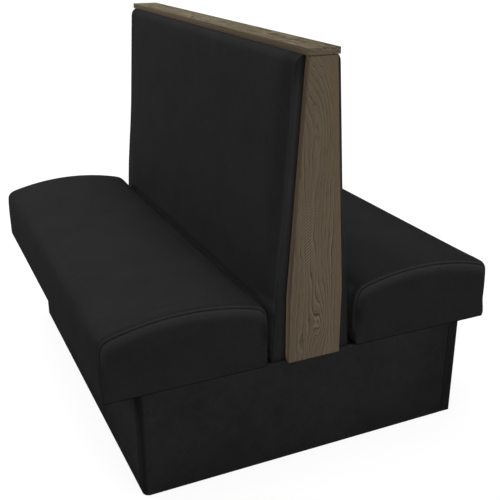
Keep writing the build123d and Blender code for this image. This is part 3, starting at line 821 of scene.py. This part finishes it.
# A seam's groove and its two lips: their half widths, the lips' place, and their height as a share
GROOVE_WIDTH, LIP_WIDTH, LIP_PLACE, LIP_SHARE = 0.0009, 0.0014, 0.0030, 0.3
# Height above the underside at which a seam begins to deepen, over what height it does, and its least share
FADE_START, FADE_HEIGHT, FADE_LEAST = 0.06, 0.07, 0.25


def circle_through(a, b, c):
    """Centre and radius of the circle through three points of a plane."""
    a, b, c = np.array(a), np.array(b), np.array(c)
    rows = np.array([b - a, c - a]) * 2.0
    sums = np.array([b @ b - a @ a, c @ c - a @ a])
    centre = np.linalg.solve(rows, sums)
    return centre, float(np.linalg.norm(a - centre))


def corner_centre(first, second, radius, corner):
    """Centre of the rounding that fits inside two circles near their crossing."""
    (centre_a, radius_a), (centre_b, radius_b) = first, second
    found = intersect_sphere_sphere_2d(tuple(centre_a), radius_a - radius,
                                       tuple(centre_b), radius_b - radius)
    return min((np.array(p) for p in found), key=lambda p: np.linalg.norm(p - np.array(corner)))


def arc(centre, start, stop, count=24):
    """Points round a centre from one point to another, the short way."""
    a, b = np.array(start) - centre, np.array(stop) - centre
    angle_a, angle_b = math.atan2(a[1], a[0]), math.atan2(b[1], b[0])
    turn = (angle_b - angle_a + math.pi) % math.tau - math.pi
    angles = angle_a + turn * np.linspace(0.0, 1.0, count)
    radius = np.linspace(np.linalg.norm(a), np.linalg.norm(b), count)
    return centre + np.stack([np.cos(angles), np.sin(angles)], axis=1) * radius[:, None]


def spaced(points, count):
    """A line through these points, at count + 1 places with an even spacing."""
    steps = np.linalg.norm(np.diff(points, axis=0), axis=1)
    run = np.concatenate([[0.0], np.cumsum(steps)])
    wanted = np.linspace(0.0, run[-1], count + 1)
    return np.stack([np.interp(wanted, run, points[:, axis]) for axis in range(2)], axis=1)


def seat_outline(settings, inset):
    """The four sides of the cushion's outline: front, top, rear and bottom, as x and z."""
    low = SEAT_LOW[2]
    sideways = inset * settings.side_share
    front = SEAT_HIGH[0] - settings.side_bulge - sideways
    rear = SEAT_LOW[0] + sideways
    front_top = (front, low + settings.front_height - inset)
    rear_top = (rear, low + settings.rear_height - inset)
    crown = (front - settings.crown_share * (front - rear), SEAT_HIGH[2] - inset)
    middle = (low + front_top[1]) / 2
    front_side = circle_through((front, low), (front + settings.side_bulge, middle), front_top)
    top_side = circle_through(front_top, crown, rear_top)
    rear_side = circle_through(rear_top, (rear - settings.rear_bulge, middle), (rear, low))
    turns = []
    for first, second, radius, corner in ((front_side, top_side, settings.front_radius, front_top),
                                          (top_side, rear_side, settings.rear_radius, rear_top)):
        centre = corner_centre(first, second, radius - sideways, corner)
        ends = [c + (centre - c) / np.linalg.norm(centre - c) * r for c, r in (first, second)]
        turn = arc(centre, ends[0], ends[1], 2 * HALF_TURN + 1)
        turns.append((ends, turn[:HALF_TURN + 1], turn[HALF_TURN:]))
    (front_ends, front_before, front_after), (rear_ends, rear_before, rear_after) = turns
    front_line = np.concatenate([arc(front_side[0], (front, low), front_ends[0]), front_before[1:]])
    top_line = np.concatenate([front_after, arc(top_side[0], front_ends[1], rear_ends[0], 60)[1:],
                               rear_before[1:]])
    rear_line = np.concatenate([rear_after, arc(rear_side[0], rear_ends[1], (rear, low))[1:]])
    bottom_line = np.array([(front, low), (rear, low)])
    return [spaced(line, count) for line, count in ((front_line, UP), (top_line, ACROSS),
                                                    (rear_line, UP), (bottom_line, ACROSS))]


def seat_rings(settings, tight, reach, drop):
    """Where each ring of a cushion lies and how far it is drawn in, with the whole drawn in by tight."""
    near = SEAT_LOW[1] - settings.end_swell + tight
    far = SEAT_HIGH[1] + settings.end_swell - tight
    turn = np.linspace(0.0, math.pi / 2, ROLL + 1)
    first = [(near + reach * (1 - math.cos(t)), drop * (1 - math.sin(t))) for t in turn]
    middle = [(y, 0.0) for y in np.linspace(near + reach, far - reach, ALONG + 1)[1:-1]]
    last = [(near + far - y, inset) for y, inset in first[::-1]]
    return [(y, inset + tight) for y, inset in first + middle + last]


def seat_shape(settings, corners, rings):
    """The corners of a cushion: each ring's outline, filled in at the ends by a slightly domed panel."""
    outlines = [seat_outline(settings, inset) for _, inset in rings]
    points = []
    for i, j, k in corners:
        front, top, rear, bottom = outlines[j]
        u, w = i / ACROSS, k / UP
        corner = ((1 - u) * (1 - w) * rear[UP] + u * (1 - w) * front[0]
                  + (1 - u) * w * rear[0] + u * w * front[UP])
        x, z = ((1 - u) * rear[UP - k] + u * front[k]
                + (1 - w) * bottom[ACROSS - i] + w * top[ACROSS - i] - corner)
        y = rings[j][0]
        if j in (0, len(rings) - 1):
            dome = settings.end_bulge * 16 * u * (1 - u) * w * (1 - w)
            y += dome if j else -dome
        points.append((x, y, z))
    return np.array(points)


def end_seams(settings):
    """Where the two end seams of a cushion lie, along it."""
    return SEAT_LOW[1] + settings.seam_inset, SEAT_HIGH[1] - settings.seam_inset


def seat_cushion(side, settings, material):
    """One seat cushion: a crowned wrap with an end panel sewn on at each end."""
    ease = settings.swell * DRAWN_SHARE
    last = 2 * ROLL + ALONG
    corners, faces = grid_box((ACROSS, last, UP))
    foot = seat_rings(settings, 0.0, settings.end_foot, settings.end_foot)
    full = seat_rings(settings, ease, settings.end_roll, settings.end_drop)
    foot_shape, full_shape = [seat_shape(settings, corners, rings) for rings in (foot, full)]
    rise = smooth(np.array([k / FOOT_ROWS for _, _, k in corners]))[:, None]
    piece = padded_mesh(f"seat_cushion_{side}", foot_shape + (full_shape - foot_shape) * rise, faces, side)
    rim = np.array([k == 0 and (i in (0, ACROSS) or j in (0, last)) for i, j, k in corners])
    crease(piece, rim, sharpness=0.85)
    held = points_of(piece)[:, 2] < SEAT_LOW[2] + ON_FACE
    sewn = np.array([min(j, last - j) <= ROLL + 2 and not (j in (0, last) and 0 < i < ACROSS and 0 < k < UP)
                     for i, j, k in corners])
    swell(piece, held, sewn, settings.swell - ease, ease)
    apply_modifier(piece, "SUBSURF", levels=1, render_levels=1)
    seams = end_seams(settings)
    bpy.ops.object.mode_set(mode="EDIT")
    cut(sorted(seam + offset for seam in seams
               for offset in (0.0, *SEAM_CUTS, *(-place for place in SEAM_CUTS))), 1)
    bpy.ops.object.mode_set(mode="OBJECT")
    sew(piece, seams, settings.seam_depth)
    lift_underside(piece, settings)
    finish_piece(piece, material, "vinyl", f"seat_cover_{side}", f"seat_end_caps_{side}",
                 f"seat_foam_{side}", f"seat_edge_padding_{side}")


def crease(piece, corners, sharpness):
    """Keeps the edges between these corners sharp when the mesh is smoothed."""
    sharp = piece.data.attributes.new("crease_edge", "FLOAT", "EDGE")
    for edge in piece.data.edges:
        if corners[edge.vertices[0]] and corners[edge.vertices[1]]:
            sharp.data[edge.index].value = sharpness


def sew(piece, seams, depth):
    """Draws the vinyl in along the seams and raises a soft lip on each side, less so low down."""
    points, normals = points_of(piece), normals_of(piece)
    sideways = normals * (1.0, 0.0, 1.0)
    size = np.linalg.norm(sideways, axis=1, keepdims=True)
    sideways /= np.maximum(size, 1e-6)
    turned = np.clip(size[:, 0] * 1.6, 0.0, 1.0)
    for seam in seams:
        gap = np.abs(points[:, 1] - seam)
        groove = np.exp(-(gap / GROOVE_WIDTH) ** 2)
        lips = np.exp(-((gap - LIP_PLACE) / LIP_WIDTH) ** 2) * LIP_SHARE
        height = points[:, 2] - SEAT_LOW[2]
        level = (normals[:, 2] > -0.5) * np.clip((height - FADE_START) / FADE_HEIGHT, FADE_LEAST, 1.0)
        points += sideways * (depth * (lips - groove) * turned * level)[:, None]
    move_to(piece, points)


def lift_underside(piece, settings):
    """Raises the middle of the underside, where the dust cover lies inside the vinyl's rim."""
    points = points_of(piece)
    x, y, z = np.abs(points[:, 0]), points[:, 1], points[:, 2]
    rim = settings.underside_rim
    inside = ((x > SEAT_LOW[0] + rim) & (x < SEAT_HIGH[0] - rim)
              & (y > SEAT_LOW[1] + rim) & (y < SEAT_HIGH[1] - rim) & (z < SEAT_LOW[2] + 0.001))
    points[inside, 2] += settings.underside_rise
    move_to(piece, points)


# Back pads

# Cells through a pad, rows of corners in each of its rolls, and cells along and up between the rolls
DEEP, ROLL_ROWS, PAD_ALONG, PAD_UP = 3, 10, 89, 49
# Share of the foot height below which the upright edges keep their small roll
FOOT_END = 0.37
# Radius of the soft mitre where two rolls meet
MITRE = 0.002


def rolled(distance, radius):
    """How far a rolled edge of this radius has fallen at a distance in from its rim."""
    left = min(max(1.0 - distance / radius, 0.0), 1.0)
    return radius * (1.0 - math.sqrt(1.0 - left * left))


def rolled_rows(low, high, low_radius, high_radius, cells):
    """Places of the rows between two rims: close together in the rolls and evenly spaced between them."""
    turn = 1 - np.cos(np.linspace(0.0, math.pi / 2, ROLL_ROWS))
    middle = np.linspace(low + low_radius, high - high_radius, cells + 1)[1:-1]
    return np.concatenate([low + low_radius * turn, middle, (high - high_radius * turn)[::-1]])


def pad_depth(settings, y, z, ease):
    """How thick a pad is at a place: crowned in its middle, with its rolls and sloping ends taken off."""
    low, high = PAD_LOW[2], PAD_HIGH[2]
    middle, half = (low + high) / 2, (high - low) / 2
    inward = min(y - PAD_LOW[1], PAD_HIGH[1] - y)
    crown = settings.crown * (1 - ((z - middle) / half) ** 2) * smooth(inward / settings.crown_width)
    above = smooth(((z - low) / settings.foot_height - FOOT_END) / (1 - FOOT_END))
    end = rolled(inward, settings.end_foot + (settings.end_radius - settings.end_foot) * above)
    rim = max(rolled(high - z, settings.top_radius), rolled(z - low, settings.bottom_radius))
    fall = math.hypot(end - rim, MITRE) / 2 + (end + rim) / 2 - MITRE / 2
    near_end = max(0.0, 1 - inward / settings.slope_width)
    slope = settings.end_slope * near_end * above * min(near_end * 3, 1.0)
    return settings.thickness + crown - ease * above - slope - min(fall, settings.top_radius)


def back_pad(side, settings, material):
    """One back pad: a crowned face with rolled edges that meet in soft mitres."""
    ease = settings.swell * DRAWN_SHARE
    ys = rolled_rows(PAD_LOW[1], PAD_HIGH[1], settings.end_radius, settings.end_radius, PAD_ALONG)
    zs = rolled_rows(PAD_LOW[2], PAD_HIGH[2], settings.bottom_radius, settings.top_radius, PAD_UP)
    last_y, last_z = len(ys) - 1, len(zs) - 1
    corners, faces = grid_box((DEEP, last_y, last_z))
    points = []
    for i, j, k in corners:
        y, z = ys[j], zs[k]
        back = PAD_LOW[0] + board_lean() * (PAD_HIGH[2] - z)
        points.append((back + pad_depth(settings, y, z, ease) * i / DEEP, y, z))
    piece = padded_mesh(f"back_pad_{side}", points, faces, side)
    held = np.array([i < DEEP or j in (0, last_y) or k in (0, last_z) for i, j, k in corners])
    sewn = np.array([min(j, last_y - j, k, last_z - k) < ROLL_ROWS for _, j, k in corners])
    swell(piece, held, sewn, settings.swell - ease, ease)
    apply_modifier(piece, "SUBSURF", levels=1, render_levels=1)
    finish_piece(piece, material, "vinyl", f"back_cover_{side}", f"back_foam_{side}")


# Rigid pieces

# The base covering: its thickness and its edges' rounding, how far it lies above the deck,
# and the depth of its left and right joints, in metres
SHEET, SHEET_EDGE, DECK_LIFT = 0.0012, 0.0005, 0.0004
JOINT_DEPTHS = (0.0005, 0.0011)
# Where the sides of a joint end, in half widths of its floor
JOINT_SIDES = 1.4


def round_edges(piece, width, segments, degrees):
    """Rounds the edges of a piece that turn by more than an angle."""
    apply_modifier(piece, "BEVEL", width=width, segments=segments, limit_method="ANGLE",
                   angle_limit=math.radians(degrees))


def fold_in(piece, height, width):
    """In edit mode, folds the rim at a height inwards, as the vinyl goes over and under the panels."""
    middle = (BASE_LOW + BASE_HIGH) / 2
    half = (BASE_HIGH - BASE_LOW) / 2
    select(piece, "edges", at((0.0, 0.0, height), (2,)))
    bpy.ops.mesh.extrude_region_move()
    bpy.ops.transform.resize(value=(1.0 - width / half[0], 1.0 - width / half[1], 1.0),
                             center_override=(middle[0], middle[1], height))


def base_wrap(settings, material):
    """The vinyl round the base: one sheet with its two joints, folded over the deck and under the panels."""
    low, high = BASE_LOW, BASE_HIGH
    piece = block("base_wrap", low, high)
    plain = (settings.plain_radius, 3)
    for x, y, (radius, segments) in ((low[0], low[1], (settings.rounded_radius, 8)),
                                     (high[0], low[1], plain),
                                     (low[0], high[1], plain),
                                     (high[0], high[1], plain)):
        select(piece, "edges", at((x, y), (0, 1)))
        bpy.ops.mesh.bevel(offset=radius, segments=segments, affect="EDGES")
    select(piece, "faces", lambda face: abs(face.normal.z) > 0.9)
    bpy.ops.mesh.delete(type="FACE")
    fold_in(piece, high[2], settings.top_fold)
    fold_in(piece, low[2], settings.bottom_fold)
    half = settings.joint_groove / 2
    joints = (low[0] + settings.rounded_lap, high[0] - settings.plain_lap)
    cut([joint + half * side for joint in joints for side in (-JOINT_SIDES, -1.0, 1.0, JOINT_SIDES)], 0)
    bpy.ops.object.mode_set(mode="OBJECT")
    points = points_of(piece)
    points[points[:, 2] > high[2] - ON_FACE, 2] += DECK_LIFT
    for joint, depth in zip(joints, JOINT_DEPTHS):
        in_groove = np.abs(points[:, 0] - joint) < half + ON_FACE
        points[in_groove & (points[:, 1] < low[1] + ON_FACE), 1] += depth
        points[in_groove & (points[:, 1] > high[1] - ON_FACE), 1] -= depth
    move_to(piece, points)
    apply_modifier(piece, "SOLIDIFY", thickness=SHEET, offset=-1.0)
    round_edges(piece, SHEET_EDGE, 2, 40)
    finish_piece(piece, material, "base_vinyl", "kick_cover_left", "kick_cover_right",
                 "end_cover_near", "end_cover_far", degrees=40)


def finish_oak(piece, node, settings, material):
    """Eases the edges of an oak piece, which stands for a CAD node, and finishes it."""
    round_edges(piece, settings.ease, 3, 30)
    finish_piece(piece, material, "oak", node, degrees=40)


def end_board(name, settings, material):
    """An oak end board: upright below its shoulder and tapered above it, with eased edges."""
    low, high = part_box(name)
    piece = block(name.replace("end_board", "oak_board"), low, high)
    cut([low[2] + settings.shoulder_rise], 2)
    select(piece, "verts", lambda vertex: vertex.co.z > high[2] - SAME_PLACE)
    bpy.ops.transform.resize(value=(settings.top_width / (high[0] - low[0]), 1.0, 1.0))
    finish_oak(piece, name, settings, material)


def oak_cap(settings, material):
    """The oak cap with eased edges."""
    finish_oak(block("oak_cap", CAP_LOW, CAP_HIGH), "top_cap", settings, material)


# Stage

# Each lamp's place, the point that it faces, and its width, in metres
LAMPS = {
    "overhead": ((0.0, 0.0, 3.6), (0.0, 0.0, 0.5), 3.0),
    "front": ((0.8, -4.0, 1.8), (0.0, -0.5, 0.5), 2.2),
    "rear": ((-4.6, 4.6, 3.4), (0.0, 0.0, 0.5), 3.0),
    "high": ((0.5, 3.5, 3.0), (0.0, 0.0, 0.5), 2.4),
    "right": ((4.0, 4.0, 3.0), (0.0, 0.0, 0.5), 3.0),
}
FLOOR_SIZE = 60.0
# How white the camera sees the floor near the booth, how much more so far from it and over which distances,
# and the share of that white against the floor's own shade
FLOOR_WHITE, FAR_WHITE, FAR, WHITE_SHARE = 1.06, 0.13, (2.5, 6.0), 0.85


def lamp(name, place, target, size, watts):
    """A square soft lamp that faces a target."""
    bpy.ops.object.light_add(type="AREA", location=place)
    made = bpy.context.object
    made.name = name
    made.data.size = size
    made.data.energy = watts
    made.rotation_euler = (Vector(target) - Vector(place)).to_track_quat("-Z", "Y").to_euler()


def floor_finish(settings):
    """A pale floor that the camera sees as white, and that keeps a part of the booth's shadow."""
    finish = new_finish("Studio floor")
    shader = finish.add("ShaderNodeBsdfDiffuse", {}, {"Color": settings.floor})
    place = finish.add("ShaderNodeTexCoord", output="Object")
    away = finish.add("ShaderNodeVectorMath", {"operation": "LENGTH"}, {0: place}, output="Value")
    white = away.ramp(*FAR) * FAR_WHITE + 1.0
    white = finish.vector(white, white, white)
    glow = finish.add("ShaderNodeEmission", {}, {"Color": white, "Strength": FLOOR_WHITE})
    mixed = finish.add("ShaderNodeMixShader", {}, {0: finish.seen() * WHITE_SHARE, 1: shader, 2: glow})
    finish.add("ShaderNodeOutputMaterial", {}, {"Surface": mixed})
    return finish.owner


def sky_finish(settings):
    """Dim even light from all round, under a sky that the camera sees as white."""
    sky = Finish(bpy.data.worlds.new("Sky"))
    strength = sky.seen() * (1.0 - settings.sky) + settings.sky
    light = sky.add("ShaderNodeBackground", {}, {"Color": (1.0, 1.0, 1.0), "Strength": strength})
    sky.add("ShaderNodeOutputWorld", {}, {"Surface": light})
    return sky.owner


# Operators

class BoothSeatsOperator(bpy.types.Operator):
    """Makes both seat cushions"""

    bl_idname = "booth.seats"
    bl_label = "Seat cushions"

    def execute(self, context):
        settings = context.scene.booth_seat
        material = cushion_finish(context.scene.booth_vinyl, end_seams(settings))
        for side in SIDES:
            seat_cushion(side, settings, material)
        return {"FINISHED"}


class BoothPadsOperator(bpy.types.Operator):
    """Makes both back pads"""

    bl_idname = "booth.pads"
    bl_label = "Back pads"

    def execute(self, context):
        material = pad_finish(context.scene.booth_vinyl)
        for side in SIDES:
            back_pad(side, context.scene.booth_pad, material)
        return {"FINISHED"}


class BoothBaseOperator(bpy.types.Operator):
    """Makes the vinyl covering of the base"""

    bl_idname = "booth.base"
    bl_label = "Base covering"

    def execute(self, context):
        settings = context.scene.booth_vinyl
        base_wrap(settings, base_vinyl_finish(settings))
        return {"FINISHED"}


class BoothOakOperator(bpy.types.Operator):
    """Makes the oak end boards and the oak cap"""

    bl_idname = "booth.oak"
    bl_label = "Oak boards and cap"

    def execute(self, context):
        settings = context.scene.booth_wood
        upright = oak_finish("Oak, upright grain", settings, 2, True)
        for name in ("end_board_near", "end_board_far"):
            end_board(name, settings, upright)
        oak_cap(settings, oak_finish("Oak, long grain", settings, 1, False))
        return {"FINISHED"}


class BoothInsideOperator(bpy.types.Operator):
    """Gives the CAD nodes inside the booth their finishes"""

    bl_idname = "booth.inside"
    bl_label = "Inner finishes"

    def execute(self, context):
        made = {slot: raw_finish(*values, **others) for slot, (*values, others) in INSIDE.items()}
        slots = {part["node"]: part["material_slot"] for part in frame["record"]["subparts"]}
        for name, node in frame["nodes"].items():
            if slots[name] in made:
                node.data.materials.clear()
                node.data.materials.append(made[slots[name]])
        return {"FINISHED"}


class BoothStageOperator(bpy.types.Operator):
    """Makes the floor, the lamps, the sky and the camera"""

    bl_idname = "booth.stage"
    bl_label = "Stage"

    def execute(self, context):
        settings = context.scene.booth_stage
        deselect()
        bpy.ops.mesh.primitive_plane_add(size=FLOOR_SIZE, location=(0.0, 0.0, 0.0))
        floor = bpy.context.object
        floor.name = "floor"
        floor.data.materials.append(floor_finish(settings))
        context.scene.world = sky_finish(settings)
        for name, (place, target, size) in LAMPS.items():
            lamp(f"{name}_lamp", place, target, size, getattr(settings, name))
        bpy.ops.object.camera_add(location=tuple(settings.eye),
                                  rotation=(math.pi / 2 - settings.elevation, 0.0, settings.azimuth))
        camera = bpy.context.object
        camera.data.lens = settings.lens
        camera.data.sensor_width = 36.0
        camera.data.clip_end = 200.0
        context.scene.camera = camera
        context.scene.view_settings.view_transform = "Standard"
        return {"FINISHED"}


class BoothPanel(bpy.types.Panel):
    """The booth's sizes, colours and pieces"""

    bl_idname = "VIEW3D_PT_booth"
    bl_label = "Double booth"
    bl_space_type = "VIEW_3D"
    bl_region_type = "UI"
    bl_category = "Booth"

    def draw(self, context):
        for operator in OPERATORS:
            self.layout.operator(operator.bl_idname)
        for name in SETTINGS:
            group = getattr(context.scene, name)
            column = self.layout.column(align=True)
            for key in group.bl_rna.properties.keys():
                if key not in ("rna_type", "name"):
                    column.prop(group, key)


SETTINGS = {
    "booth_seat": BoothSeatSettings,
    "booth_pad": BoothPadSettings,
    "booth_wood": BoothWoodSettings,
    "booth_vinyl": BoothVinylSettings,
    "booth_stage": BoothStageSettings,
}
OPERATORS = (BoothSeatsOperator, BoothPadsOperator, BoothBaseOperator, BoothOakOperator,
             BoothInsideOperator, BoothStageOperator)


def register():
    for kind in (*SETTINGS.values(), *OPERATORS, BoothPanel):
        bpy.utils.register_class(kind)
    for name, kind in SETTINGS.items():
        setattr(bpy.types.Scene, name, PointerProperty(type=kind))


def unregister():
    for name in SETTINGS:
        delattr(bpy.types.Scene, name)
    for kind in (BoothPanel, *OPERATORS[::-1], *list(SETTINGS.values())[::-1]):
        bpy.utils.unregister_class(kind)


def main():
    """Makes every piece in order."""
    register()
    for operator in OPERATORS:
        group, name = operator.bl_idname.split(".")
        getattr(getattr(bpy.ops, group), name)()
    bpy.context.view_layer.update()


if __name__ == "__main__":
    main()
